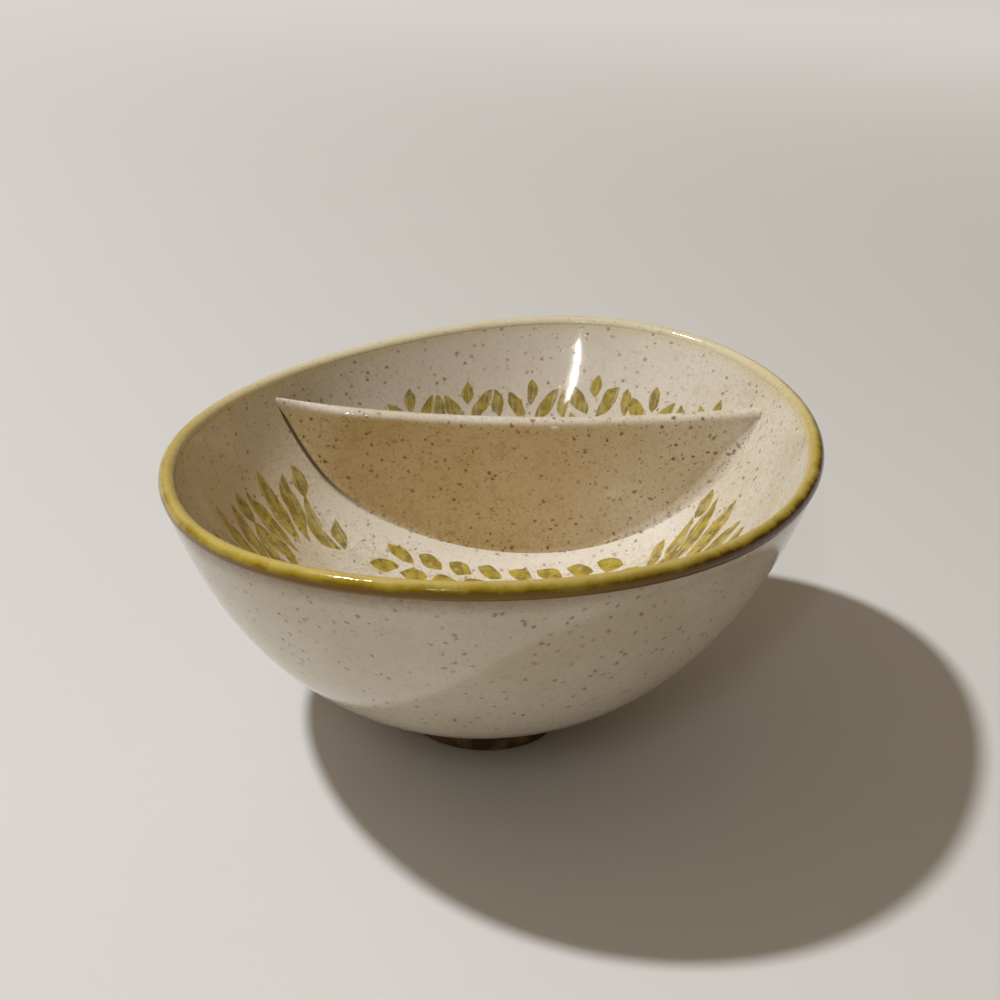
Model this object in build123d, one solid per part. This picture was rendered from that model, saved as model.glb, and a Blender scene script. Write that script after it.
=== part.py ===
from build123d import *
import os
from math import cos, hypot, pi, radians, sin

# A hand-built stoneware serving bowl with one wall across it. Lengths are in mm.
# The wall runs along X, the small compartment is on the +Y side, Z is up and the
# foot ring stands on Z = 0 around the origin.

# Plan of the lip: a circle drawn out to an oval and pulled softly to three corners
MEAN_RADIUS = 100.0
OVAL = 7.0
OVAL_TURN = radians(67)
SQUARING = 1.25
LOBES = 3.6
LOBES_TURN = radians(38)
REAR_SHIFT = 2.5

# Lip: a saddle, high at front and rear and low at the sides, the right side over the left
LIP_HEIGHT = 87.5
LIP_TILT = 4.5
LIP_SADDLE = 4.6
LIP_TWIST = 1.1
LIP_DIAMETER = 4.8

# Body, floor and foot ring
WALL = 4.2
FOOT_WALL = 9.0
FLOOR = 8.0
FLOOR_ROUND = 45.0
BELLY = 0.48
FOOT_RADIUS = 23.5
FOOT_HEIGHT = 10.5
FOOT_THICKNESS = 5.0
FOOT_TAPER = 1.0
FOOT_EDGE = 0.8

# Dividing wall, its top measured down from the lip, and the clay seams along it
DIVIDER_FRONT = 53.5
DIVIDER_THICKNESS = 5.0
DIVIDER_DROP = 13.4
DIVIDER_END_DROP = 5.3
DIVIDER_TILT = 1.8
DIVIDER_TOP_ROUND = 2.1
SEAM_FRONT_RADIUS = 8.0
SEAM_REAR_RADIUS = 2.5
SEAM_FEATHER = 0.15

# How finely the curved forms are drawn
SECTION_POINTS = 24
LIP_POINTS = 48
RISE_STEPS = (0.0, 0.05, 0.14, 0.28, 0.48, 0.74, 1.0, 1.25)

# Sizes that follow
BODY_HEIGHT = LIP_HEIGHT - FOOT_HEIGHT
FLOOR_HEIGHT = FOOT_HEIGHT + FLOOR
LIP_RADIUS = LIP_DIAMETER / 2
DIVIDER_REAR = DIVIDER_FRONT + DIVIDER_THICKNESS
REACH = 2 * MEAN_RADIUS
HEIGHTS = [FOOT_HEIGHT + BODY_HEIGHT * step for step in RISE_STEPS]


def plan_radius(angle):
    """Radius of the lip's plan in one direction."""
    oval = OVAL * cos(2 * (angle - OVAL_TURN))
    square = SQUARING * cos(4 * (angle - OVAL_TURN))
    lobes = LOBES * cos(3 * (angle - LOBES_TURN))
    return MEAN_RADIUS + oval + square + lobes


def spread(height):
    """How far the body has opened from the foot circle (0) to the lip's plan (1)."""
    rise = (height - FOOT_HEIGHT) / BODY_HEIGHT
    return (1 + BELLY) * rise / (rise + BELLY)


def flare(height):
    """Outward run of the body for each mm of height."""
    rise = (height - FOOT_HEIGHT) / BODY_HEIGHT
    opening = (1 + BELLY) * BELLY / (rise + BELLY) ** 2
    return (MEAN_RADIUS - FOOT_RADIUS) * opening / BODY_HEIGHT


def wall_at(height):
    """Thickness of the wall, which grows from the lip down to the foot."""
    rise = min(1, (height - FOOT_HEIGHT) / BODY_HEIGHT)
    return WALL + (FOOT_WALL - WALL) * (1 - rise) ** 3


def body_point(angle, height, depth):
    """Point at a height, under the given depth of clay from the outer face."""
    opened = spread(height)
    radius = FOOT_RADIUS + (plan_radius(angle) - FOOT_RADIUS) * opened
    radius = radius - depth * hypot(1, flare(height))
    return (radius * cos(angle), REAR_SHIFT * opened + radius * sin(angle), height)


def body_section(height, depth):
    """Level cut through the body as a face."""
    angles = [2 * pi * i / SECTION_POINTS for i in range(SECTION_POINTS)]
    outline = Spline(*[body_point(angle, height, depth) for angle in angles], periodic=True)
    return make_face(outline)


def lip_level(x, y):
    """Height of the lip's centre line over a point of the plan."""
    u = x / MEAN_RADIUS
    v = y / MEAN_RADIUS
    lift = LIP_TILT * u + LIP_SADDLE * (v * v - u * u) + LIP_TWIST * 2 * u * v
    return LIP_HEIGHT - LIP_RADIUS + lift


def lip_point(angle):
    """Centre of the rounded lip in one direction, in the middle of the wall."""
    height = LIP_HEIGHT
    for _ in range(8):
        x, y, height = body_point(angle, height, WALL / 2)
        height = lip_level(x, y)
    return (x, y, height)


def above_lip():
    """Everything over the saddle through the lip's centre line."""
    corners = (-REACH, 0, REACH)
    squares = (REACH**2, -(REACH**2), REACH**2)
    rows = []
    for x, x_square in zip(corners, squares):
        row = []
        for y, y_square in zip(corners, squares):
            lift = LIP_SADDLE * (y_square - x_square) / MEAN_RADIUS**2
            flat = lip_level(x, y) - LIP_SADDLE * (y * y - x * x) / MEAN_RADIUS**2
            row.append((x, y, flat + lift))
        rows.append(row)
    return extrude(Face.make_bezier_surface(rows), amount=REACH, dir=(0, 0, 1))


def lip_tube():
    """The rounded lip, swept in two halves."""
    angles = [2 * pi * i / LIP_POINTS for i in range(LIP_POINTS)]
    line = Spline(*[lip_point(angle) for angle in angles], periodic=True)
    tube = Part()
    for half in (line.trim(0, 0.5), line.trim(0.5, 1)):
        circle = Plane(origin=half @ 0, z_dir=half % 0) * Circle(LIP_RADIUS)
        tube = tube + sweep(circle, path=half)
    return tube


def divider_outline():
    """Front view of the dividing wall: a hollow top line, higher on the right, over a plain block."""
    left = (-MEAN_RADIUS, LIP_HEIGHT - DIVIDER_END_DROP - DIVIDER_TILT)
    right = (MEAN_RADIUS, LIP_HEIGHT - DIVIDER_END_DROP + DIVIDER_TILT)
    top = ThreePointArc(left, (0, LIP_HEIGHT - DIVIDER_DROP), right)
    block = Polyline(right, (MEAN_RADIUS, 0), (-MEAN_RADIUS, 0), left)
    plane = Plane(origin=(0, DIVIDER_REAR, 0), x_dir=(1, 0, 0), z_dir=(0, -1, 0))
    return plane * make_face(top + block)


def inner_form(outset):
    """The space inside the bowl, grown into its wall by the given outset."""
    upper = [height for height in HEIGHTS if height > FLOOR_HEIGHT + FLOOR / 2]
    sections = [body_section(height, wall_at(height) - outset) for height in [FLOOR_HEIGHT] + upper]
    return loft(sections)


def one_side(space, front, outset):
    """A space cut off at one face of the dividing wall, grown by the given outset."""
    away = Box(2 * REACH, REACH, 2 * REACH)
    if front:
        return space - Pos(0, DIVIDER_FRONT + outset + REACH / 2, 0) * away
    return space - Pos(0, DIVIDER_REAR - outset - REACH / 2, 0) * away


def seam(front, radius):
    """Clay rounded into the corner between the dividing wall and the bowl, feathered out."""
    hollow = one_side(inner_form(SEAM_FEATHER), front, SEAM_FEATHER)
    wall_face = hollow.faces().sort_by(Axis.Y)[-1 if front else 0]
    hollow = fillet(wall_face.edges().sort_by(Axis.Z)[:-1], radius)
    clay = one_side(inside, front, 0) - hollow
    under_top = Pos(0, 0, -DIVIDER_TOP_ROUND) * extrude(divider_outline(), amount=REACH, both=True)
    return clay & under_top


# Thrown body: an outer form, an inner form with a rounded floor, and the lip
outside = loft([body_section(height, 0) for height in HEIGHTS])
inside = inner_form(0)
inside = fillet(inside.faces().sort_by(Axis.Z)[0].edges(), FLOOR_ROUND)
rim_band = lip_tube()
bowl_shell = outside - inside - above_lip() - rim_band

# Dividing wall, trimmed to the inner form, and its seams
slab = extrude(divider_outline(), amount=DIVIDER_THICKNESS)
slab = fillet(slab.edges().filter_by(GeomType.CIRCLE), DIVIDER_TOP_ROUND)
divider_wall = slab & inside
divider_seam_front = seam(True, SEAM_FRONT_RADIUS)
divider_seam_rear = seam(False, SEAM_REAR_RADIUS)

# Foot ring, narrower where it stands
foot_cone = Cone(FOOT_RADIUS - FOOT_TAPER, FOOT_RADIUS, FOOT_HEIGHT)
foot_hole = Cylinder(FOOT_RADIUS - FOOT_THICKNESS, 2 * FOOT_HEIGHT)
foot_ring = Pos(0, 0, FOOT_HEIGHT / 2) * (foot_cone - foot_hole)
foot_ring = chamfer(foot_ring.faces().sort_by(Axis.Z)[0].edges(), FOOT_EDGE)

os.makedirs("parts", exist_ok=True)
export_step(bowl_shell, "parts/bowl_shell.step")
export_step(rim_band, "parts/rim_band.step")
export_step(divider_wall, "parts/divider_wall.step")
export_step(divider_seam_front, "parts/divider_seam_front.step")
export_step(divider_seam_rear, "parts/divider_seam_rear.step")
export_step(foot_ring, "parts/foot_ring.step")
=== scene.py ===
import math

import bmesh
import bpy
import numpy as np
from mathutils import Matrix, Vector


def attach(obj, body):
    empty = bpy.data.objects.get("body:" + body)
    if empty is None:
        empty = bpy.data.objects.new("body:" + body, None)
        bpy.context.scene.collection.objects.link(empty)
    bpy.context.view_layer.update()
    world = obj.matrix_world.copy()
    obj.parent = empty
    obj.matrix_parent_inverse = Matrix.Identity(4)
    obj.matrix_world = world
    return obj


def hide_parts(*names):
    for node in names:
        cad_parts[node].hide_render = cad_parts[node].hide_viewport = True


# A speckled stoneware bowl with an olive lip, a dividing wall and painted leaves.
# Lengths are in metres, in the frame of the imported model: X along the dividing wall,
# Y from the large compartment to the small one, Z up.

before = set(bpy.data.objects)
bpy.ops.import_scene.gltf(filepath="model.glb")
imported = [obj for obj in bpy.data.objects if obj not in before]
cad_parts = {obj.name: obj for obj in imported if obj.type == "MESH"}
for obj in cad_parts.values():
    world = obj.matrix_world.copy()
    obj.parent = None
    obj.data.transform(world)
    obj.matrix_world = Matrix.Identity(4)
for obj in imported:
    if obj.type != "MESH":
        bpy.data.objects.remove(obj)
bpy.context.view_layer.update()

# Form of the bowl, as the solids have it
MEAN_RADIUS = 0.100
OVAL = 0.007
OVAL_TURN = math.radians(67)
SQUARING = 0.00125
LOBES = 0.0036
LOBES_TURN = math.radians(38)
REAR_SHIFT = 0.0025
LIP_HEIGHT = 0.0875
LIP_TILT = 0.0045
LIP_SADDLE = 0.0046
LIP_TWIST = 0.0011
LIP_RADIUS = 0.0024
WALL = 0.0042
FOOT_WALL = 0.009
FLOOR = 0.008
BELLY = 0.48
FOOT_RADIUS = 0.0235
FOOT_HEIGHT = 0.0105
FOOT_THICKNESS = 0.005
FOOT_TAPER = 0.001
FOOT_EDGE = 0.0008
DIVIDER_FRONT = 0.0535
DIVIDER_THICKNESS = 0.005
DIVIDER_DROP = 0.0134
DIVIDER_END_DROP = 0.0053
DIVIDER_TILT = 0.0018
DIVIDER_TOP_ROUND = 0.0021
SEAM_FRONT_RADIUS = 0.008
SEAM_REAR_RADIUS = 0.0025
SEAM_FEATHER = 0.00015

# What the meshes add: a lip a hair within its solid, a floor run softly into the wall, the
# dividing wall's front face smoothed back at the left, and seams that thin out at their ends
LIP_SKIN = 0.00003
FLOOR_BLEND = 0.012
DIVIDER_SWEEP = 0.0036
DIVIDER_SWEEP_START = -0.046
DIVIDER_SWEEP_END = -0.072
SEAM_TAPER = 0.014
SEAM_END_SHARE = 0.12
SEAM_LINE = -0.2
EMBED = 0.0008

# Sizes that follow, the heights between which the wall is looked for, and millimetres in a metre
BODY_HEIGHT = LIP_HEIGHT - FOOT_HEIGHT
FLOOR_HEIGHT = FOOT_HEIGHT + FLOOR
FOOT_ROUND = FOOT_EDGE * 0.3
DIVIDER_REAR = DIVIDER_FRONT + DIVIDER_THICKNESS
DIVIDER_MIDDLE = (DIVIDER_FRONT + DIVIDER_REAR) / 2
SEARCH_LOW = FOOT_HEIGHT - 0.25 * BODY_HEIGHT * BELLY
SEARCH_HIGH = LIP_HEIGHT + 0.5 * BODY_HEIGHT
MM = 1000.0
MIDDLE_MM = MM * DIVIDER_MIDDLE

# How finely the meshes are drawn
AROUND = 288
LIP_AROUND = 24
INNER_RINGS = 84
INNER_START = 0.004
OUTER_RINGS = 52
OUTER_CROWDING = 1.7
BASE_RINGS = (0.8, 0.5, 0.2, 0.01)
DIVIDER_STEPS = 160
DIVIDER_RISE = 13
SEAM_STEPS = 150
SEAM_ARC = 10
SHARP_ANGLE = math.radians(50)

# How closely heights, ends and slopes are found
LIP_ROUNDS = 8
HALVINGS = 48
END_SAMPLES = 4001
SLOPE_STEP = 0.0002

# The photograph's camera, from its frame of 1000 by 1000 pixels
CAMERA_FOCAL_PIXELS = 1640.0
CAMERA_FRAME_PIXELS = 1000.0
CAMERA_TARGET = Vector((0.0025, 0.0, 0.0690))
CAMERA_DISTANCE = 0.4658
CAMERA_PITCH = math.radians(22.4)
CAMERA_ROLL = math.radians(2.54)
SENSOR_WIDTH = 36.0

# Lamps, in metres and watts: a key from the upper left and a narrow strip in front
KEY_DISTANCE = 2.0
KEY_PLACE = Vector((-0.433, 0.017, 0.753)).normalized() * KEY_DISTANCE
KEY_SIZE = (0.12, 0.12)
KEY_POWER = 32.0
STRIP_PLACE = Vector((-0.17, -1.04, 0.76))
STRIP_SIZE = (0.03, 0.36)
STRIP_POWER = 1.6

# Soft warm fill, and its strength from the horizon to overhead
SKY_COLOUR = (1.0, 0.78, 0.52, 1.0)
SKY_LOW = 0.09
SKY_HIGH = 0.30

# Floor: its half width in metres, and how far out, in millimetres, it is kept pale
STAGE_HALF = 4.0
STAGE_NEAR = 200.0
STAGE_FAR = 2300.0
STAGE_GLOW = 0.62


def plan_radius(angle):
    """Radius of the lip's plan in one direction."""
    oval = OVAL * np.cos(2 * (angle - OVAL_TURN))
    square = SQUARING * np.cos(4 * (angle - OVAL_TURN))
    lobes = LOBES * np.cos(3 * (angle - LOBES_TURN))
    return MEAN_RADIUS + oval + square + lobes


def rise(height):
    """Height as a share of the body between the foot and the lip."""
    return (height - FOOT_HEIGHT) / BODY_HEIGHT


def spread(height):
    """How far the body has opened from the foot circle (0) to the lip's plan (1)."""
    return (1 + BELLY) * rise(height) / (rise(height) + BELLY)


def flare(height):
    """Outward run of the body for each metre of height."""
    opening = (1 + BELLY) * BELLY / (rise(height) + BELLY) ** 2
    return (MEAN_RADIUS - FOOT_RADIUS) * opening / BODY_HEIGHT


def wall_at(height):
    """Thickness of the wall, which grows from the lip down to the foot."""
    return WALL + (FOOT_WALL - WALL) * (1 - np.clip(rise(height), 0, 1)) ** 3


def body_radius(angle, height, depth):
    """Radius of the body at a height, under the given depth of clay."""
    outer = FOOT_RADIUS + (plan_radius(angle) - FOOT_RADIUS) * spread(height)
    return outer - depth * np.hypot(1, flare(height))


def body_point(angle, height, depth):
    """Point of the body at a height, under the given depth of clay."""
    radius = body_radius(angle, height, depth)
    y = REAR_SHIFT * spread(height) + radius * np.sin(angle)
    return np.stack([radius * np.cos(angle), y, height + 0 * angle], -1)


def lip_line(angle):
    """Centre of the rounded lip in each direction."""
    height = np.full_like(angle, LIP_HEIGHT)
    for _ in range(LIP_ROUNDS):
        point = body_point(angle, height, WALL / 2)
        u = point[..., 0] / MEAN_RADIUS
        v = point[..., 1] / MEAN_RADIUS
        lift = LIP_TILT * u + LIP_SADDLE * (v * v - u * u) + LIP_TWIST * 2 * u * v
        height = LIP_HEIGHT - LIP_RADIUS + lift
    point[..., 2] = height
    return point


def wall_height(x, y, extra=0.0):
    """Height of the inner wall over a point of the plan, or of a surface that far inside it."""
    low = np.full(np.broadcast(x, y).shape, SEARCH_LOW)
    high = np.full(low.shape, SEARCH_HIGH)
    for _ in range(HALVINGS):
        middle = (low + high) / 2
        y_here = y - REAR_SHIFT * spread(middle)
        angle = np.arctan2(y_here, x)
        outside = np.hypot(x, y_here) > body_radius(angle, middle, wall_at(middle) + extra)
        low = np.where(outside, middle, low)
        high = np.where(outside, high, middle)
    return (low + high) / 2


def inner_height(x, y):
    """Height of the inside of the bowl: the wall, run softly into the floor."""
    wall = wall_height(x, y)
    near = np.clip(1 - np.abs(wall - FLOOR_HEIGHT) / FLOOR_BLEND, 0, 1)
    return np.maximum(wall, FLOOR_HEIGHT) + near * near * FLOOR_BLEND / 4


def divider_top(x):
    """Height of the dividing wall's hollow top line."""
    sag = DIVIDER_DROP - DIVIDER_END_DROP
    return LIP_HEIGHT - DIVIDER_DROP + sag * (x / MEAN_RADIUS) ** 2 + DIVIDER_TILT * x / MEAN_RADIUS


def divider_sweep(x):
    """How far the dividing wall's front face is smoothed back at its left end."""
    share = np.clip((x - DIVIDER_SWEEP_START) / (DIVIDER_SWEEP_END - DIVIDER_SWEEP_START), 0, 1)
    return DIVIDER_SWEEP * share * share * (3 - 2 * share)


def unit(vectors):
    """Vectors brought to a length of one."""
    return vectors / np.linalg.norm(vectors, axis=1, keepdims=True)


def smooth(mesh):
    """Turn all faces outward and shade them smooth between the sharp edges."""
    build = bmesh.new()
    build.from_mesh(mesh)
    bmesh.ops.recalc_face_normals(build, faces=build.faces)
    build.to_mesh(mesh)
    build.free()
    mesh.polygons.foreach_set("use_smooth", np.ones(len(mesh.polygons), bool))
    mesh.set_sharp_from_angle(angle=SHARP_ANGLE)


def loft(name, sections, loop=False, **attributes):
    """Closed mesh through closed sections, joined end to end or capped, with point attributes."""
    count, points = sections.shape[:2]
    verts = sections.reshape(-1, 3)
    index = np.arange(count * points).reshape(count, points)
    rows = index if loop else index[:-1]
    after = np.roll(index, -1, 0) if loop else index[1:]
    quads = np.stack([rows, np.roll(rows, -1, 1), np.roll(after, -1, 1), after], -1).reshape(-1, 4)
    faces = quads.tolist()
    if not loop:
        verts = np.concatenate([verts, sections[:1].mean(1), sections[-1:].mean(1)])
        for ring, middle in ((index[0], count * points), (index[-1], count * points + 1)):
            faces += [[a, b, middle] for a, b in zip(ring.tolist(), np.roll(ring, -1).tolist())]
    mesh = bpy.data.meshes.new(name)
    mesh.from_pydata(verts.tolist(), [], faces)
    smooth(mesh)
    for key, values in attributes.items():
        flat = values.reshape(-1)
        if not loop:
            flat = np.concatenate([flat, [values[0].mean(), values[-1].mean()]])
        mesh.attributes.new(key, "FLOAT", "POINT").data.foreach_set("value", flat.astype(np.float32))
    piece = bpy.data.objects.new(name, mesh)
    bpy.context.scene.collection.objects.link(piece)
    return piece


def place(piece, material, slot, *nodes):
    """Dress a piece, fix it to the bowl and let it stand for its solids."""
    piece.data.materials.append(material)
    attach(piece, "root")
    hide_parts(*nodes)


def run_length(rings):
    """Distance along each meridian from the first ring."""
    steps = np.linalg.norm(np.diff(rings, axis=0), axis=2)
    return np.concatenate([np.zeros((1, rings.shape[1])), np.cumsum(steps, 0)])


def make_body():
    """Wall and floor: inside from the middle up to the lip, then the outside down to the foot."""
    angle = np.linspace(0, 2 * np.pi, AROUND, endpoint=False)
    lip = lip_line(angle)
    inner_edge = body_point(angle, lip[:, 2], WALL)
    share = np.sin(np.linspace(INNER_START, 1, INNER_RINGS) * np.pi / 2)[:, None]
    x = inner_edge[:, 0] * share
    y = inner_edge[:, 1] * share
    inner = np.stack([x, y, inner_height(x, y)], -1)
    climb = np.linspace(1, 0, OUTER_RINGS)[:, None] ** OUTER_CROWDING
    height = FOOT_HEIGHT + (lip[:, 2] - FOOT_HEIGHT) * climb
    outer = body_point(angle + 0 * climb, height, 0)
    under = np.array(BASE_RINGS)[:, None, None]
    base = outer[-1:] * np.array([1, 1, 0]) * under + np.array([0, 0, FOOT_HEIGHT])
    rings = np.concatenate([inner, outer, base])
    inside = np.zeros(rings.shape[:2])
    inside[:INNER_RINGS] = 1
    outer_run = run_length(np.concatenate([outer, base]))
    to_lip = np.concatenate([run_length(inner[::-1])[::-1], outer_run])
    return loft("bowl_body", rings, inside=inside, to_lip=to_lip)


def make_lip():
    """Rounded lip: a closed tube along the saddle line, its seam buried in the wall."""
    angle = np.linspace(0, 2 * np.pi, AROUND, endpoint=False)
    centre = lip_line(angle)
    along = unit(np.roll(centre, -1, 0) - np.roll(centre, 1, 0))
    outward = unit(np.cross(along, (0, 0, 1)))
    upward = np.cross(outward, along)
    turn = np.linspace(-np.pi / 2, 1.5 * np.pi, LIP_AROUND, endpoint=False)
    ring = outward[:, None] * np.cos(turn)[:, None] + upward[:, None] * np.sin(turn)[:, None]
    bulge = np.clip(np.cos(turn) + 1, 0, 1)[:, None]
    sections = centre[:, None] + ring * (WALL / 2 - LIP_SKIN + (LIP_RADIUS - WALL / 2) * bulge)
    around = np.tile((turn + np.pi / 2) / (2 * np.pi), (AROUND, 1))
    return loft("bowl_lip", sections, loop=True, around=around)


def wall_ends(y, sweep):
    """Where the top line of one face of the dividing wall runs into the bowl's wall."""
    x = np.linspace(-MEAN_RADIUS, MEAN_RADIUS, END_SAMPLES)
    swept = y + divider_sweep(x) * sweep / DIVIDER_SWEEP
    clear = wall_height(x, swept) < divider_top(x) + EMBED
    return x[clear].min(), x[clear].max()


def make_divider():
    """Dividing wall: upright section with a rounded top, swept from end to end."""
    half = DIVIDER_THICKNESS / 2
    arc = np.linspace(np.pi, 0, DIVIDER_RISE)
    flat = half - DIVIDER_TOP_ROUND
    offset = np.where(np.cos(arc) < 0, -flat, flat) + DIVIDER_TOP_ROUND * np.cos(arc)
    drop = DIVIDER_TOP_ROUND * (1 - np.sin(arc))
    steps = np.linspace(0, 1, DIVIDER_RISE, endpoint=False)
    face = np.full(DIVIDER_RISE, half)
    across = np.concatenate([-face, offset, face]) + DIVIDER_MIDDLE
    level = np.concatenate([steps, np.ones(DIVIDER_RISE), steps[::-1]])
    rounded = np.full(DIVIDER_RISE, DIVIDER_TOP_ROUND)
    below = np.concatenate([rounded, drop, rounded])
    front = wall_ends(DIVIDER_FRONT, DIVIDER_SWEEP)
    rear = wall_ends(DIVIDER_REAR, 0)
    blend = (across - DIVIDER_FRONT) / DIVIDER_THICKNESS
    left = front[0] + (rear[0] - front[0]) * blend
    right = front[1] + (rear[1] - front[1]) * blend
    share = (1 - np.cos(np.linspace(0, np.pi, DIVIDER_STEPS)))[:, None] / 2
    x = left + (right - left) * share
    y = DIVIDER_REAR - (DIVIDER_REAR - across) * (1 - divider_sweep(x) / DIVIDER_THICKNESS)
    top = divider_top(x) - below
    foot = np.minimum(inner_height(x, y) - EMBED, top)
    z = foot + (top - foot) * level
    return loft("dividing_wall", np.stack([x, y, z], -1), below=divider_top(x) - z)


def seam_line(face_y, side, radius):
    """Centre line of a seam's rounding, seen from above, and its radius, less at both ends."""
    sweep = DIVIDER_SWEEP if side < 0 else 0.0
    ends = wall_ends(face_y, sweep)
    share = (1 - np.cos(np.linspace(0, np.pi, SEAM_STEPS))) / 2
    x = ends[0] + (ends[1] - ends[0]) * share
    face = face_y + divider_sweep(x) * sweep / DIVIDER_SWEEP
    keep = wall_height(x, face) < divider_top(x) - DIVIDER_TOP_ROUND
    x, face = x[keep], face[keep]
    ends_off = np.minimum(x - x[0], x[-1] - x)
    radius = radius * np.clip(SEAM_END_SHARE + ends_off / SEAM_TAPER, 0, 1)
    return x, face + side * radius, radius


def into_wall(x, y, extra):
    """Direction square into the bowl's wall from a surface that far inside it."""
    step = SLOPE_STEP
    climb_x = wall_height(x + step, y, extra) - wall_height(x - step, y, extra)
    climb_y = wall_height(x, y + step, extra) - wall_height(x, y - step, extra)
    return unit(np.stack([climb_x / (2 * step), climb_y / (2 * step), -np.ones_like(x)], -1))


def make_seam(name, face_y, side, radius):
    """Clay rolled into the corner between the dividing wall and the bowl on one side."""
    x, y, radius = seam_line(face_y, side, radius)
    back = np.tile((0.0, -side, 0.0), (len(x), 1))
    corner = unit(back + into_wall(x, y, radius))
    half = np.arccos(np.clip((back * corner).sum(1), -1, 1))[:, None, None]
    part = np.linspace(-1, 1, SEAM_ARC)[None, :, None]
    square = unit(back - corner * (back * corner).sum(1, keepdims=True))
    ring = corner[:, None] * np.cos(part * half) - square[:, None] * np.sin(part * half)
    centre = np.stack([x, y, wall_height(x, y, radius)], -1) + corner * SEAM_FEATHER
    arc = centre[:, None] + radius[:, None, None] * ring
    deep = centre + corner * (radius[:, None] / np.cos(half[:, 0]) + EMBED)
    sections = np.concatenate([arc, deep[:, None]], 1)
    buried = np.zeros((len(x), 1))
    across = np.concatenate([np.tile(part[0, :, 0], (len(x), 1)), buried], 1)
    off_line = (part[..., 0] - SEAM_LINE) * half[..., 0] * radius[:, None]
    off_corner = np.concatenate([off_line, buried], 1)
    below = divider_top(sections[..., 0]) - sections[..., 2]
    return loft(name, sections, across=across, corner=off_corner, below=below)


def make_foot():
    """Foot ring: a turned section with softened edges."""
    inner = FOOT_RADIUS - FOOT_THICKNESS
    outer_low = FOOT_RADIUS - FOOT_TAPER
    section = [
        (inner, FOOT_HEIGHT),
        (inner, FOOT_HEIGHT * 0.6),
        (inner, FOOT_EDGE),
        (inner + FOOT_ROUND, FOOT_ROUND),
        (inner + FOOT_EDGE, 0),
        (outer_low - FOOT_EDGE, 0),
        (outer_low - FOOT_ROUND, FOOT_ROUND),
        (outer_low, FOOT_EDGE),
        (FOOT_RADIUS - FOOT_TAPER * 0.5, FOOT_HEIGHT * 0.5),
        (FOOT_RADIUS, FOOT_HEIGHT),
    ]
    radius = np.array([point[0] for point in section])
    height = np.array([point[1] for point in section])
    angle = np.linspace(0, 2 * np.pi, AROUND // 2, endpoint=False)[:, None]
    sections = np.stack([radius * np.cos(angle), radius * np.sin(angle), height + 0 * angle], -1)
    return loft("standing_ring", sections, loop=True)


def srgb(red, green, blue):
    """Colour of a screen value from 0 to 255, as the shader counts it."""
    line = []
    for value in (red, green, blue):
        share = value / 255
        line.append(share / 12.92 if share <= 0.04045 else ((share + 0.055) / 1.055) ** 2.4)
    return (*line, 1.0)


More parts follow.
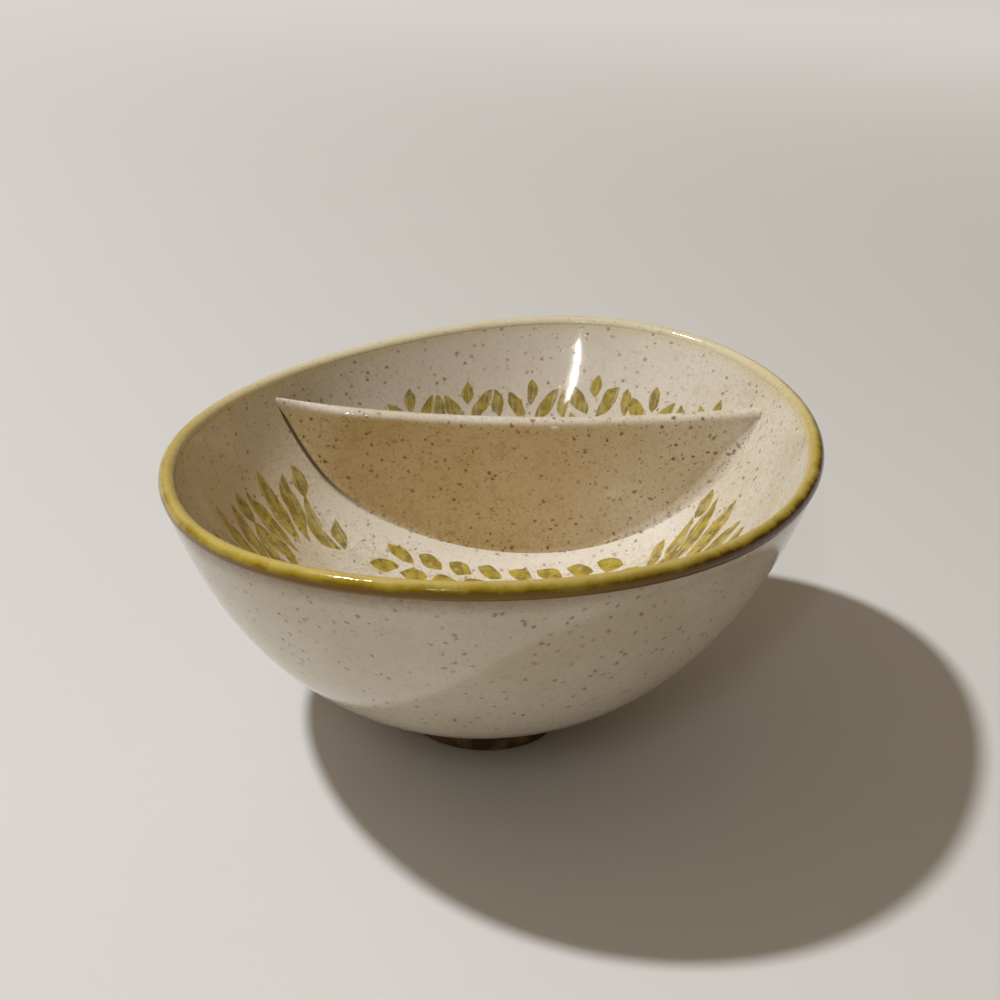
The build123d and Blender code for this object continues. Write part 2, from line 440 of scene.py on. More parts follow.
class Paint:
    """A material's node tree, with short calls for the nodes used here."""

    # Colour sockets of the mix node, which has others of the same names
    MIX_SHARE = 0
    MIX_FIRST = 6
    MIX_SECOND = 7
    MIX_RESULT = 2

    # Share of its radius within which a dot is whole
    DOT_CORE = 0.4

    def __init__(self, name):
        self.material = bpy.data.materials.new(name)
        self.material.use_nodes = True
        self.tree = self.material.node_tree
        self.shader = self.tree.nodes["Principled BSDF"]

    def put(self, socket, value):
        """Link a socket to another, or set its value."""
        if isinstance(value, bpy.types.NodeSocket):
            self.tree.links.new(value, socket)
        elif value is not None:
            socket.default_value = value

    def add(self, kind, *inputs, **settings):
        """New node with its settings and its first inputs."""
        node = self.tree.nodes.new(kind)
        for key, value in settings.items():
            setattr(node, key, value)
        for socket, value in zip(node.inputs, inputs):
            self.put(socket, value)
        return node

    def math(self, operation, first, second=None, third=None, clamp=False):
        node = self.add("ShaderNodeMath", first, second, third, operation=operation, use_clamp=clamp)
        return node.outputs[0]

    def vector(self, operation, first, second=None):
        node = self.add("ShaderNodeVectorMath", first, second, operation=operation)
        return node.outputs["Value"] if operation in ("DOT_PRODUCT", "LENGTH") else node.outputs[0]

    def scaled(self, vector, factor):
        node = self.add("ShaderNodeVectorMath", vector, operation="SCALE")
        self.put(node.inputs["Scale"], factor)
        return node.outputs[0]

    def join(self, x, y, z=0.0):
        return self.add("ShaderNodeCombineXYZ", x, y, z).outputs[0]

    def split(self, vector):
        return self.add("ShaderNodeSeparateXYZ", vector).outputs

    def ramp(self, value, low, high, to_low=0.0, to_high=1.0):
        """Smooth step of a value between two limits."""
        limits = (value, low, high, to_low, to_high)
        node = self.add("ShaderNodeMapRange", *limits, interpolation_type="SMOOTHSTEP")
        return node.outputs[0]

    def mix(self, share, first, second):
        node = self.add("ShaderNodeMix", data_type="RGBA")
        self.put(node.inputs[self.MIX_SHARE], share)
        self.put(node.inputs[self.MIX_FIRST], first)
        self.put(node.inputs[self.MIX_SECOND], second)
        return node.outputs[self.MIX_RESULT]

    def noise(self, where, scale, detail=3.0, rough=0.5, distortion=0.0):
        node = self.add("ShaderNodeTexNoise")
        self.put(node.inputs["Vector"], where)
        self.put(node.inputs["Scale"], scale)
        self.put(node.inputs["Detail"], detail)
        self.put(node.inputs["Roughness"], rough)
        self.put(node.inputs["Distortion"], distortion)
        return node.outputs

    def dots(self, where, spacing, radius):
        """Round dots of up to the given radius, scattered through space at about the given spacing."""
        node = self.add("ShaderNodeTexVoronoi")
        self.put(node.inputs["Vector"], where)
        self.put(node.inputs["Scale"], 1 / spacing)
        return self.ramp(node.outputs["Distance"], radius / spacing, self.DOT_CORE * radius / spacing)

    def attribute(self, name):
        return self.add("ShaderNodeAttribute", attribute_name=name).outputs["Fac"]

    def places(self):
        """Place on the bowl in millimetres."""
        return self.scaled(self.add("ShaderNodeTexCoord").outputs["Object"], MM)

    def finish(self, colour, roughness, height, lift):
        """Join colour, roughness and a bump of the given lift in metres to the shader."""
        bump = self.add("ShaderNodeBump")
        bump.inputs["Strength"].default_value = 1.0
        bump.inputs["Distance"].default_value = lift
        self.put(bump.inputs["Height"], height)
        self.put(self.shader.inputs["Base Color"], colour)
        self.put(self.shader.inputs["Roughness"], roughness)
        self.put(self.shader.inputs["Normal"], bump.outputs[0])
        return self.material


# Glaze and clay colours: a ground has a main tone, a warm cloud and a grey grain
CREAM_TONES = (srgb(219, 212, 199), srgb(208, 196, 174), srgb(184, 170, 148))
OUTER_TONES = (srgb(205, 194, 174), srgb(194, 180, 154), srgb(168, 153, 128))
# Tan tones paint warm shade: on the dividing wall's face and on the left of the inside
TAN_SHADE_TONES = (srgb(205, 182, 134), srgb(198, 168, 110), srgb(168, 138, 82))
# Pale white of pooling glaze by the dividing wall, partly a painted highlight, and painted light on the
# far wall
POOL_AND_PAINTED_LIGHT = srgb(236, 231, 221)
SPECK = srgb(112, 70, 32)
LEAF = srgb(176, 156, 46)
LEAF_DARK = srgb(132, 112, 32)
OLIVE = srgb(152, 132, 30)
OLIVE_PALE = srgb(190, 168, 95)
OLIVE_LIGHT = srgb(205, 192, 118)
OLIVE_EDGE = srgb(115, 86, 8)
OLIVE_BURNT = srgb(84, 54, 10)
LIP_CREAM = srgb(216, 208, 182)
# Dark brown of the corner's line, painted shade with some pooling glaze, and of the specks along it
CREASE_SHADE_AND_SPECKS = srgb(66, 46, 22)
CLAY = srgb(140, 106, 74)
CLAY_DARK = srgb(84, 62, 44)
STAGE_PALE = srgb(216, 216, 215)
STAGE_GREY = srgb(209, 209, 208)
GLAZE_IOR = 1.65
LIP_IOR = 1.38
INNER_STAIN = 0.3
ROUGH_INSIDE = 0.5
ROUGH_OUTSIDE = 0.25

# Iron specks, in millimetres: spacing and largest radius, and how ragged they are. Then their
# strength, and the share of it that the fine ones have
SPECK_FINE = (2.0, 0.46)
SPECK_COARSE = (3.4, 0.85)
SPECK_RAGGED = 1.4
SPECKS_BODY = 0.65
SPECKS_DIVIDER = 0.85
SPECKS_SEAM = 0.8
DUST_OUTSIDE = 0.3
DUST_INSIDE = 0.65
DUST_DIVIDER = 0.9

# Leaves of one fan, in millimetres and degrees: foot across, foot up, lean, length, width
FAN_LEAVES = (
    (0.0, 2.0, 0.0, 25.0, 6.2),
    (-3.6, 1.0, -15.0, 23.0, 5.8),
    (3.6, 1.0, 15.0, 23.0, 5.8),
    (-6.4, 0.0, -31.0, 18.0, 5.2),
    (6.4, 0.0, 31.0, 18.0, 5.2),
)
GAP_LEAVES = (
    (0.0, 13.0, 0.0, 11.0, 4.8),
    (-0.6, -3.0, -30.0, 9.0, 4.2),
    (0.6, -3.0, 30.0, 9.0, 4.2),
)
REAR_LEAVES = (
    (-1.3, 4.0, -33.0, 12.5, 4.6),
    (1.3, 4.0, 33.0, 12.5, 4.6),
    (0.0, 9.5, 0.0, 9.0, 4.0),
    (-2.6, -5.0, -20.0, 10.5, 4.4),
    (2.6, -5.0, 20.0, 10.5, 4.4),
)
REAR_GAP_LEAVES = (
    (-0.8, 4.0, 9.0, 10.5, 4.4),
    (0.0, -6.0, 0.0, 9.0, 4.2),
)
ROW_LEAVES = ((-4.6, 0.0, 74.0, 9.6, 5.6),)
ROW_LEAVES_BACK = ((4.4, 0.0, -66.0, 9.0, 5.4),)
FRONT_FANS = 17
FRONT_TURN = 0.28
FRONT_BARE_MIDDLE = 4.0
FRONT_BARE_HALF = 2.5
FRONT_FOOT = 36.0
FRONT_STRETCH = 1.2
REAR_FANS = 28
REAR_FOOT = 57.0
REAR_SLOPE = 0.075
REAR_STRETCH = 1.12
ROW_PITCH = 9.5
ROW_FOOT = 36.5
ROW_STEP = 6.0
ROW_MIDDLE = 4.0
ROW_HALF = 40.0
LEAF_WAVE = 0.6
HAIR_REACH = 25.0
HAIRS = 34.0
HAIR_WANDER = 0.06

# Noises of the finishes: scale for each millimetre, detail, roughness, distortion
WISP_NOISE = (0.32, 4.0, 0.65, 1.6)
CLOUD_NOISE = (0.05, 3.0, 0.5)
GRAIN_NOISE = (1.3, 3.0, 0.65)
SWELL_NOISE = (0.05, 1.0)
RAGGED_NOISE = (0.9, 1.0)
GATHER_NOISE = (0.08, 2.0)
LEAF_WAVE_NOISE = (0.13, 1.0)
HAIR_NOISE = (1.0, 2.0)
WEAR_NOISE = (0.45, 4.0, 0.65)
PIGMENT_NOISE = (0.3, 3.0)
CREASE_NOISE = (0.7, 2.0)
PATCH_NOISE = (0.12, 4.0, 0.6)
FLECK_NOISE = (0.9, 3.0, 0.6)
LIP_SWELL_NOISE = (0.3, 3.0)
CLAY_NOISE = (0.15, 4.0, 0.6)
GRIT_NOISE = (2.2, 3.0, 0.65)
STAGE_NOISE = (0.01, 3.0)

# Smooth steps of the finishes: from and to a noise value, a place in millimetres or a share,
# then what they become there, if it isn't 0 and 1. First the glazes
CLOUD_STEP = (0.35, 0.65, 0.1, 0.7)
WISP_STEP = (0.48, 0.68)
GRAIN_STEP = (0.48, 0.70)
GATHER_STEP = (0.35, 0.6, 0.4, 1.0)
# Pooling white glaze by the dividing wall, partly a painted highlight
POOL_HIGHLIGHT_WANDER = (0.3, 0.7, -6.0, 6.0)
POOL_HIGHLIGHT_HEIGHT = (62.0, 38.0)
POOL_HIGHLIGHT_REACH = (24.0, 8.0, 0.0, 0.45)
# Painted warm shade on the left of the inside
LEFT_GOLD_SHADE = (-40.0, -85.0, 0.0, 0.45)
# Painted light that makes the far wall paler
REAR_PAINTED_LIGHT = (60.0, 100.0, 0.0, 0.5)
GLAZE_ROUGHNESS = (0.3, 0.7, 0.05, 0.11)
STAIN_WANDER = (0.3, 0.7, -0.8, 0.8)
INNER_STAIN_REACH = (2.8, 0.0, 0.0, INNER_STAIN)
OUTER_STAIN_REACH = (8.0, 0.5)
OUTER_STAIN_SHARE = (0.0, 60.0, 0.8, 0.35)
# Painted warm shade on the dividing wall's face: below its top, towards its left end and towards its right
# end
GOLD_SHADE_BELOW_TOP = (0.6, 3.2)
GOLD_SHADE_LEFT = (-25.0, -75.0, 1.0, 0.75)
GOLD_SHADE_RIGHT = (0.0, 75.0, 1.0, 0.15)
# Painted shade of the dark line in the corner, strongest at its left end
CREASE_SHADE_LEFT = (-34.0, -58.0, 0.1, 0.9)
CREASE_SHADE_LINE = (0.9, 0.3)
CREASE_GRAINS = (0.53, 0.62, 0.0, 0.55)
CREASE_GRAIN_REACH = (1.7, 0.3)
SEAM_CHANGE = (-0.5, 0.1)

# Then the leaves, the lip, the clay and the studio's floor
LEAF_WAVE_STEP = (0.25, 0.75, -LEAF_WAVE, LEAF_WAVE)
LEAF_EDGE = (-0.1, 0.3)
HAIR_STEP = (0.35, 0.55, 0.62, 1.0)
FAN_ASIDE = (0.0, 1.0, -1.2, 1.2)
FAN_UP = (0.0, 1.0, -2.5, 2.5)
WEAR_STEP = (0.30, 0.45, 0.7, 0.95)
PIGMENT_STEP = (0.35, 0.65)
LIP_WANDER = (0.3, 0.7, -0.04, 0.04)
LIP_SHIFT_RIGHT = (30.0, 90.0, 0.0, 0.09)
LIP_BURNT_RIGHT = (15.0, 70.0)
LIP_OLIVE = (0.26, 0.35)
LIP_PALE = (0.32, 0.46)
LIP_THIN_REAR = (0.0, 85.0, 0.0, 0.8)
LIP_THIN_TOP = (0.20, 0.42)
LIP_INSIDE = (0.52, 0.68)
FLECK_STEP = (0.55, 0.72, 0.0, 0.3)
LIP_ROUGHNESS = (0.3, 0.7, 0.10, 0.18)
CLAY_STEP = (0.35, 0.65)
GRIT_STEP = (0.55, 0.75, 0.0, 0.5)
CLAY_ROUGHNESS = (0.3, 0.7, 0.75, 0.95)
STAGE_ROUGHNESS = (0.3, 0.7, 0.55, 0.65)

# Lift of the bumps, in metres, and how deep the specks lie as a share of it
GLAZE_LIFT = 0.0003
LIP_LIFT = 0.00015
CLAY_LIFT = 0.0003
STAGE_LIFT = 0.00001
SPECK_DENT = 0.08


def leaf_depth(paint, u, v, shapes):
    """How far inside the nearest leaf a point is, in millimetres."""
    where = paint.join(u, v)
    best = None
    for foot_u, foot_v, lean, length, width in shapes:
        turn = math.radians(lean)
        local = paint.vector("SUBTRACT", where, (foot_u, foot_v, 0.0))
        along = paint.vector("DOT_PRODUCT", local, (math.sin(turn) / length, math.cos(turn) / length, 0.0))
        aside = paint.vector("DOT_PRODUCT", local, (math.cos(turn), -math.sin(turn), 0.0))
        swell = paint.math("MULTIPLY", along, paint.math("SUBTRACT", 1.0, along))
        half = paint.math("MULTIPLY", swell, 2.0 * width)
        inside = paint.math("SUBTRACT", half, paint.math("ABSOLUTE", aside))
        best = inside if best is None else paint.math("MAXIMUM", best, inside)
    return best


def brushed(paint, place_mm, u, v, shapes):
    """Leaves drawn in two painting coordinates, with an outline unsteady as from a brush."""
    wave = paint.split(paint.noise(place_mm, *LEAF_WAVE_NOISE)["Color"])
    u = paint.math("ADD", u, paint.ramp(wave[0], *LEAF_WAVE_STEP))
    v = paint.math("ADD", v, paint.ramp(wave[1], *LEAF_WAVE_STEP))
    return paint.ramp(leaf_depth(paint, u, v, shapes), *LEAF_EDGE)


def streaks(paint, u, v):
    """Marks of the brush's hairs, which spread from below the foot of a fan."""
    lean = paint.math("ARCTAN2", u, paint.math("ADD", v, HAIR_REACH))
    hair = paint.join(paint.math("MULTIPLY", lean, HAIRS), paint.math("MULTIPLY", v, HAIR_WANDER))
    return paint.ramp(paint.noise(hair, *HAIR_NOISE)["Fac"], *HAIR_STEP)


def fan_turn(paint, place_mm, fans, offset):
    """Place round the bowl, counted in fans."""
    x, y, _ = paint.split(place_mm)
    return paint.math("MULTIPLY_ADD", paint.math("ARCTAN2", y, x), fans / (2 * math.pi), offset)


def fan_ring(paint, place_mm, shapes, turn, fans, lift):
    """Fans of leaves round the bowl, each set a little off its place."""
    x, y, _ = paint.split(place_mm)
    chance = paint.add("ShaderNodeTexWhiteNoise", noise_dimensions="1D")
    paint.put(chance.inputs["W"], paint.math("FLOOR", turn))
    shift = paint.split(chance.outputs["Color"])
    step = paint.math("MULTIPLY", paint.vector("LENGTH", paint.join(x, y)), 2 * math.pi / fans)
    u = paint.math("MULTIPLY", paint.math("SUBTRACT", paint.math("FRACT", turn), 0.5), step)
    u = paint.math("ADD", u, paint.ramp(shift[0], *FAN_ASIDE))
    v = paint.math("ADD", lift, paint.ramp(shift[1], *FAN_UP))
    return paint.math("MULTIPLY", brushed(paint, place_mm, u, v, shapes), streaks(paint, u, v))


def front_ring(paint, place_mm):
    """Fans in the large compartment, none beside the dividing wall, with smaller leaves between."""
    height = paint.split(place_mm)[2]
    lift = paint.math("MULTIPLY", paint.math("SUBTRACT", height, FRONT_FOOT), FRONT_STRETCH)
    ring = []
    for shapes, offset in ((FAN_LEAVES, 0.0), (GAP_LEAVES, 0.5)):
        turn = fan_turn(paint, place_mm, FRONT_FANS, FRONT_TURN + offset)
        drawn = fan_ring(paint, place_mm, shapes, turn, FRONT_FANS, lift)
        away = paint.math("SUBTRACT", paint.math("FLOOR", turn), FRONT_BARE_MIDDLE + offset)
        kept = paint.math("GREATER_THAN", paint.math("ABSOLUTE", away), FRONT_BARE_HALF - offset)
        ring.append(paint.math("MULTIPLY", drawn, kept))
    return paint.math("MAXIMUM", ring[0], ring[1])


def rear_ring(paint, place_mm):
    """Pairs of leaves high on the wall of the small compartment, with single ones between."""
    x, _, height = paint.split(place_mm)
    foot = paint.math("MULTIPLY_ADD", x, REAR_SLOPE, REAR_FOOT)
    lift = paint.math("MULTIPLY", paint.math("SUBTRACT", height, foot), REAR_STRETCH)
    ring = []
    for shapes, offset in ((REAR_LEAVES, 0.0), (REAR_GAP_LEAVES, 0.5)):
        turn = fan_turn(paint, place_mm, REAR_FANS, offset)
        ring.append(fan_ring(paint, place_mm, shapes, turn, REAR_FANS, lift))
    return paint.math("MAXIMUM", ring[0], ring[1])


def leaf_row(paint, place_mm, shapes, offset, foot):
    """Straight row of small leaves along the foot of the dividing wall."""
    x, y, _ = paint.split(place_mm)
    turn = paint.math("ADD", paint.math("DIVIDE", x, ROW_PITCH), offset)
    u = paint.math("MULTIPLY", paint.math("SUBTRACT", paint.math("FRACT", turn), 0.5), ROW_PITCH)
    drawn = brushed(paint, place_mm, u, paint.math("SUBTRACT", y, foot), shapes)
    first = (0.5 - offset) * ROW_PITCH - ROW_MIDDLE
    middle = paint.math("MULTIPLY_ADD", paint.math("FLOOR", turn), ROW_PITCH, first)
    kept = paint.math("LESS_THAN", paint.math("ABSOLUTE", middle), ROW_HALF)
    return paint.math("MULTIPLY", drawn, kept)


def leaves(paint, place_mm):
    """Share of leaf paint on the inside of the bowl."""
    _, y, _ = paint.split(place_mm)
    row = leaf_row(paint, place_mm, ROW_LEAVES, 0.0, ROW_FOOT)
    second = leaf_row(paint, place_mm, ROW_LEAVES_BACK, 0.5, ROW_FOOT + ROW_STEP)
    front = paint.math("MAXIMUM", front_ring(paint, place_mm), paint.math("MAXIMUM", row, second))
    front = paint.math("MULTIPLY", front, paint.math("LESS_THAN", y, MIDDLE_MM))
    rear = paint.math("GREATER_THAN", y, MIDDLE_MM)
    rear = paint.math("MULTIPLY", rear_ring(paint, place_mm), rear)
    worn = paint.ramp(paint.noise(place_mm, *WEAR_NOISE)["Fac"], *WEAR_STEP)
    return paint.math("MULTIPLY", paint.math("MAXIMUM", front, rear), worn)


def wisps(paint, where):
    """Drifting streaks in the glaze."""
    return paint.noise(where, *WISP_NOISE)["Fac"]


def ground(paint, where, wisp, tones, rough=ROUGH_INSIDE):
    """Clouded glaze in three tones, with wisps and grain of the given strength."""
    cloud = paint.noise(where, *CLOUD_NOISE)["Fac"]
    grain = paint.noise(where, *GRAIN_NOISE)["Fac"]
    colour = paint.mix(paint.ramp(cloud, *CLOUD_STEP), tones[0], tones[1])
    colour = paint.mix(paint.ramp(wisp, *WISP_STEP, 0.0, rough), colour, tones[2])
    return paint.mix(paint.ramp(grain, *GRAIN_STEP, 0.0, rough), colour, tones[2])


def pooled_and_highlit(paint, where, wisp, colour):
    """Cream whitened along the foot of the dividing wall: pooling white glaze, and partly a painted
    highlight.
    """
    _, y, height = paint.split(where)
    away = paint.math("ABSOLUTE", paint.math("SUBTRACT", y, MIDDLE_MM))
    near = paint.math("ADD", away, paint.ramp(wisp, *POOL_HIGHLIGHT_WANDER))
    low = paint.ramp(height, *POOL_HIGHLIGHT_HEIGHT)
    return paint.mix(paint.math("MULTIPLY", paint.ramp(near, *POOL_HIGHLIGHT_REACH), low), colour, POOL_AND_PAINTED_LIGHT)


def inner_ground(paint, where, wisp):
    """Cream of the inside: gold painted shade on the left, painted light at the back, and white by the
    dividing wall, from pooling glaze and a painted highlight.
    """
    x, y, _ = paint.split(where)
    colour = ground(paint, where, wisp, CREAM_TONES)
    colour = paint.mix(paint.ramp(x, *LEFT_GOLD_SHADE), colour, TAN_SHADE_TONES[1])
    colour = paint.mix(paint.ramp(y, *REAR_PAINTED_LIGHT), colour, POOL_AND_PAINTED_LIGHT)
    return pooled_and_highlit(paint, where, wisp, colour)


def specks(paint, where, dust):
    """Share of iron specks, coarse ones and a dust of fine ones, gathered here and thinned out there."""
    ragged = paint.vector("SUBTRACT", paint.noise(where, *RAGGED_NOISE)["Color"], (0.5, 0.5, 0.5))
    place_mm = paint.vector("ADD", where, paint.scaled(ragged, SPECK_RAGGED))
    fine = paint.math("MULTIPLY", paint.dots(place_mm, *SPECK_FINE), dust)
    spots = paint.math("MAXIMUM", fine, paint.dots(place_mm, *SPECK_COARSE))
    thick = paint.ramp(paint.noise(where, *GATHER_NOISE)["Fac"], *GATHER_STEP)
    return paint.math("MULTIPLY", spots, thick)


def glossy(paint, where, wisp, colour, dust, strength):
    """Finish of a glaze: iron specks of the given strength, a slow swell and a high gloss."""
    spots = specks(paint, where, dust)
    colour = paint.mix(paint.math("MULTIPLY", spots, strength), colour, SPECK)
    swell = paint.noise(where, *SWELL_NOISE)["Fac"]
    height = paint.math("SUBTRACT", swell, paint.math("MULTIPLY", spots, SPECK_DENT))
    paint.shader.inputs["IOR"].default_value = GLAZE_IOR
    return paint.finish(colour, paint.ramp(wisp, *GLAZE_ROUGHNESS), height, GLAZE_LIFT)


def body_glaze():
    """Cream glaze of the bowl, with leaves inside and the lip's glaze run down on both sides."""
    paint = Paint("body_glaze")
    where = paint.places()
    wisp = wisps(paint, where)
    thin = paint.noise(where, *PIGMENT_NOISE)["Fac"]
    pigment = paint.mix(paint.ramp(thin, *PIGMENT_STEP), LEAF, LEAF_DARK)
    inner = paint.mix(leaves(paint, where), inner_ground(paint, where, wisp), pigment)
    outer = ground(paint, where, wisp, OUTER_TONES, ROUGH_OUTSIDE)
    gap = paint.math("MULTIPLY", paint.attribute("to_lip"), MM)
    gap = paint.math("ADD", gap, paint.ramp(wisp, *STAIN_WANDER))
    inner = paint.mix(paint.ramp(gap, *INNER_STAIN_REACH), inner, OLIVE_LIGHT)
    stain = paint.ramp(paint.split(where)[0], *OUTER_STAIN_SHARE)
    stain = paint.math("MULTIPLY", paint.ramp(gap, *OUTER_STAIN_REACH), stain)
    outer = paint.mix(stain, outer, OLIVE_EDGE)
    inside = paint.attribute("inside")
    dust = paint.ramp(inside, 0.0, 1.0, DUST_OUTSIDE, DUST_INSIDE)
    return glossy(paint, where, wisp, paint.mix(inside, outer, inner), dust, SPECKS_BODY)


def face_colour(paint, where, wisp, cream):
    """Glaze of the dividing wall, with gold painted warm shade on it: most in the middle, less along its
    top edge and to the ends.
    """
    tan_shade = ground(paint, where, wisp, TAN_SHADE_TONES)
    below = paint.math("MULTIPLY", paint.attribute("below"), MM)
    x = paint.split(where)[0]
    left = paint.ramp(x, *GOLD_SHADE_LEFT)
    golden_shade = paint.math("MULTIPLY", left, paint.ramp(x, *GOLD_SHADE_RIGHT))
    golden_shade = paint.math("MULTIPLY", paint.ramp(below, *GOLD_SHADE_BELOW_TOP), golden_shade)
    return paint.mix(golden_shade, cream, tan_shade)


def divider_glaze():
    """Strongly speckled glaze of the dividing wall, with gold painted warm shade on its face."""
    paint = Paint("divider_glaze")
    where = paint.places()
    wisp = wisps(paint, where)
    colour = face_colour(paint, where, wisp, ground(paint, where, wisp, CREAM_TONES))
    return glossy(paint, where, wisp, colour, DUST_DIVIDER, SPECKS_DIVIDER)


def crease(paint, where):
    """Share of the dark line in the corner, painted shade with some dark pooling glaze: whole at its left
    end, broken into grains of speck further on.
    """
    off = paint.math("ABSOLUTE", paint.math("MULTIPLY", paint.attribute("corner"), MM))
    left = paint.ramp(paint.split(where)[0], *CREASE_SHADE_LEFT)
    line = paint.math("MULTIPLY", paint.ramp(off, *CREASE_SHADE_LINE), left)
    grains = paint.ramp(paint.noise(where, *CREASE_NOISE)["Fac"], *CREASE_GRAINS)
    grains = paint.math("MULTIPLY", grains, paint.ramp(off, *CREASE_GRAIN_REACH))
    return paint.math("MAXIMUM", line, grains)


def seam_glaze():
    """Glaze of the seams, from the dividing wall's gold painted shade to the bowl's cream across a dark
    crease of painted shade.
    """
    paint = Paint("seam_glaze")
    where = paint.places()
    wisp = wisps(paint, where)
    cream = ground(paint, where, wisp, CREAM_TONES)
    face = face_colour(paint, where, wisp, cream)
    inner = inner_ground(paint, where, wisp)
    colour = paint.mix(paint.ramp(paint.attribute("across"), *SEAM_CHANGE), face, inner)
    colour = paint.mix(crease(paint, where), colour, CREASE_SHADE_AND_SPECKS)
    return glossy(paint, where, wisp, colour, DUST_DIVIDER, SPECKS_SEAM)


def olive_glaze():
    """Lip glaze: thin and creamy inside and at the back, olive in front, brown on the outer edge."""
    paint = Paint("olive_glaze")
    where = paint.places()
    x, y, _ = paint.split(where)
    patch = paint.noise(where, *PATCH_NOISE)["Fac"]
    around = paint.math("ADD", paint.attribute("around"), paint.ramp(patch, *LIP_WANDER))
    around = paint.math("SUBTRACT", around, paint.ramp(x, *LIP_SHIFT_RIGHT))
    edge = paint.mix(paint.ramp(x, *LIP_BURNT_RIGHT), OLIVE_EDGE, OLIVE_BURNT)
    colour = paint.mix(paint.ramp(around, *LIP_OLIVE), edge, OLIVE)
    colour = paint.mix(paint.ramp(around, *LIP_PALE), colour, OLIVE_PALE)
    thin = paint.math("MULTIPLY", paint.ramp(y, *LIP_THIN_REAR), paint.ramp(around, *LIP_THIN_TOP))
    colour = paint.mix(thin, colour, LIP_CREAM)
    inner = inner_ground(paint, where, wisps(paint, where))
    inner = paint.mix(INNER_STAIN, inner, OLIVE_LIGHT)
    colour = paint.mix(paint.ramp(around, *LIP_INSIDE), colour, inner)
    fleck = paint.ramp(paint.noise(where, *FLECK_NOISE)["Fac"], *FLECK_STEP)
    colour = paint.mix(fleck, colour, edge)
    height = paint.noise(where, *LIP_SWELL_NOISE)["Fac"]
    paint.shader.inputs["IOR"].default_value = LIP_IOR
    return paint.finish(colour, paint.ramp(patch, *LIP_ROUGHNESS), height, LIP_LIFT)


def bare_clay():
    """Unglazed dark clay of the foot ring."""
    paint = Paint("bare_clay")
    where = paint.places()
    cloud = paint.noise(where, *CLAY_NOISE)["Fac"]
    grit = paint.noise(where, *GRIT_NOISE)["Fac"]
    colour = paint.mix(paint.ramp(cloud, *CLAY_STEP), CLAY, CLAY_DARK)
    colour = paint.mix(paint.ramp(grit, *GRIT_STEP), colour, CLAY_DARK)
    return paint.finish(colour, paint.ramp(grit, *CLAY_ROUGHNESS), grit, CLAY_LIFT)


def pale_floor():
    """Plain floor that keeps the bowl's shadow and, where it is seen, stays pale far from the lamps."""
    paint = Paint("pale_floor")
    where = paint.places()
    tone = paint.noise(where, *STAGE_NOISE)["Fac"]
    path = paint.add("ShaderNodeLightPath").outputs
    seen = paint.math("MAXIMUM", path["Is Camera Ray"], path["Is Glossy Ray"])
    seen = paint.math("MAXIMUM", seen, path["Is Transmission Ray"])
    glow = paint.ramp(paint.vector("LENGTH", where), STAGE_NEAR, STAGE_FAR, 0.0, STAGE_GLOW)
    paint.shader.inputs["Emission Color"].default_value = STAGE_PALE
    paint.put(paint.shader.inputs["Emission Strength"], paint.math("MULTIPLY", seen, glow))
    colour = paint.mix(tone, STAGE_PALE, STAGE_GREY)
    return paint.finish(colour, paint.ramp(tone, *STAGE_ROUGHNESS), tone, STAGE_LIFT)


def make_lamp(name, where, size, power):
    """Soft lamp that faces the bowl."""
    lamp = bpy.data.lights.new(name, "AREA")
    lamp.shape = "ELLIPSE"
    lamp.size, lamp.size_y = size
    lamp.energy = power
    stand = bpy.data.objects.new(name, lamp)
    stand.location = where
    stand.rotation_euler = (where - CAMERA_TARGET).to_track_quat("Z", "Y").to_euler()
    bpy.context.scene.collection.objects.link(stand)


def make_floor():
    """Plain floor, which is no piece of the bowl."""
    corners = [(-1, -1), (1, -1), (1, 1), (-1, 1)]
    mesh = bpy.data.meshes.new("floor")
    mesh.from_pydata([(STAGE_HALF * x, STAGE_HALF * y, 0) for x, y in corners], [], [(0, 1, 2, 3)])
    floor = bpy.data.objects.new("floor", mesh)
    floor.data.materials.append(pale_floor())
    bpy.context.scene.collection.objects.link(floor)


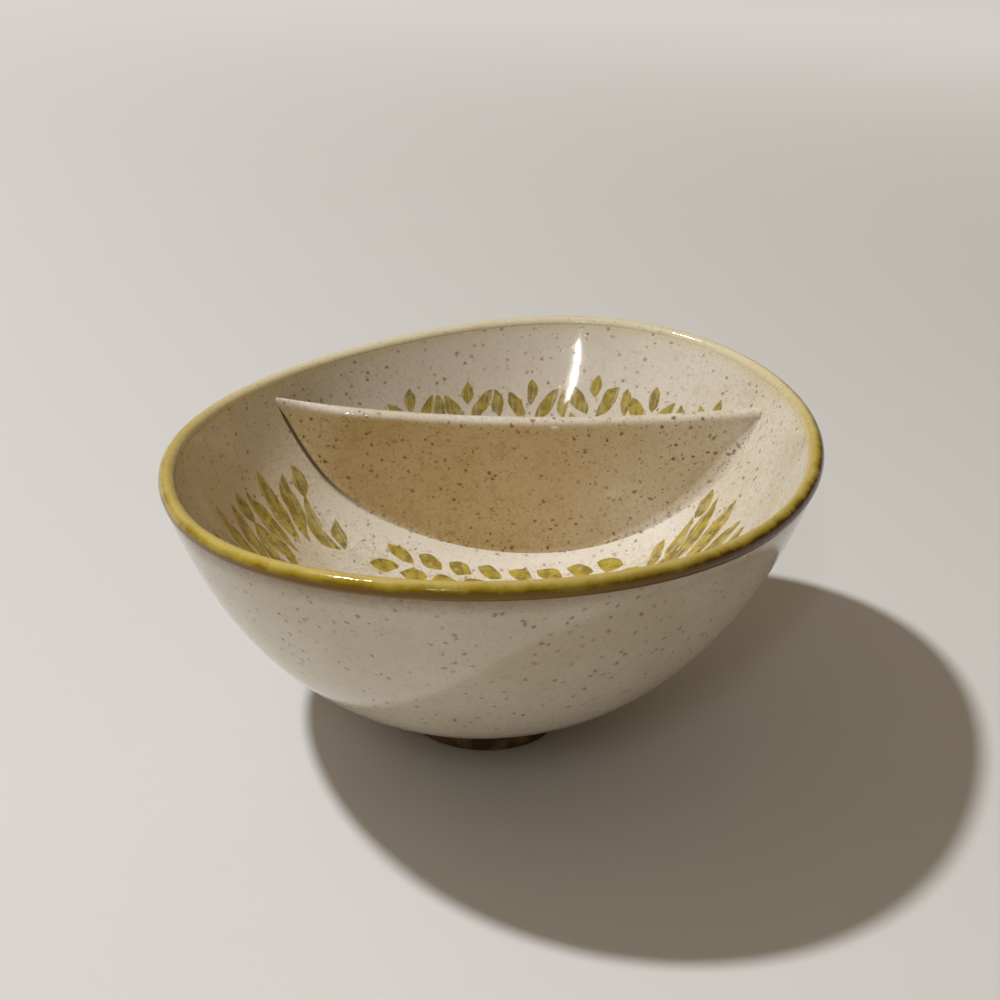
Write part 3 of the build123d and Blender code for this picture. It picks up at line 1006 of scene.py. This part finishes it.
def make_sky():
    """Soft fill from all round, weakest at the horizon."""
    world = bpy.data.worlds.new("studio")
    world.use_nodes = True
    tree = world.node_tree
    sky = tree.nodes["Background"]
    sky.inputs["Color"].default_value = SKY_COLOUR
    where = tree.nodes.new("ShaderNodeTexCoord")
    height = tree.nodes.new("ShaderNodeSeparateXYZ")
    level = tree.nodes.new("ShaderNodeMapRange")
    level.inputs["To Min"].default_value = SKY_LOW
    level.inputs["To Max"].default_value = SKY_HIGH
    tree.links.new(where.outputs["Generated"], height.inputs[0])
    tree.links.new(height.outputs["Z"], level.inputs["Value"])
    tree.links.new(level.outputs[0], sky.inputs["Strength"])
    bpy.context.scene.world = world


def make_camera():
    """The photograph's camera."""
    data = bpy.data.cameras.new("camera")
    data.sensor_width = SENSOR_WIDTH
    data.lens = SENSOR_WIDTH * CAMERA_FOCAL_PIXELS / CAMERA_FRAME_PIXELS
    camera = bpy.data.objects.new("camera", data)
    back = Vector((0, -math.cos(CAMERA_PITCH), math.sin(CAMERA_PITCH)))
    right = Vector((1, 0, 0))
    up = back.cross(right)
    tilted_right = right * math.cos(CAMERA_ROLL) + up * math.sin(CAMERA_ROLL)
    tilted_up = up * math.cos(CAMERA_ROLL) - right * math.sin(CAMERA_ROLL)
    turn = Matrix((tilted_right, tilted_up, back)).transposed().to_4x4()
    camera.matrix_world = Matrix.Translation(CAMERA_TARGET + back * CAMERA_DISTANCE) @ turn
    bpy.context.scene.collection.objects.link(camera)
    bpy.context.scene.camera = camera


place(make_body(), body_glaze(), "cream_glaze", "bowl_shell")
place(make_lip(), olive_glaze(), "olive_glaze", "rim_band")
place(make_divider(), divider_glaze(), "cream_glaze", "divider_wall")
corner_glaze = seam_glaze()
front_seam = make_seam("front_seam", DIVIDER_FRONT, -1, SEAM_FRONT_RADIUS)
place(front_seam, corner_glaze, "cream_glaze", "divider_seam_front")
rear_seam = make_seam("rear_seam", DIVIDER_REAR, 1, SEAM_REAR_RADIUS)
place(rear_seam, corner_glaze, "cream_glaze", "divider_seam_rear")
place(make_foot(), bare_clay(), "bare_clay", "foot_ring")
make_floor()
make_lamp("key", KEY_PLACE, KEY_SIZE, KEY_POWER)
make_lamp("strip", STRIP_PLACE, STRIP_SIZE, STRIP_POWER)
make_sky()
make_camera()
bpy.context.scene.view_settings.view_transform = "Standard"
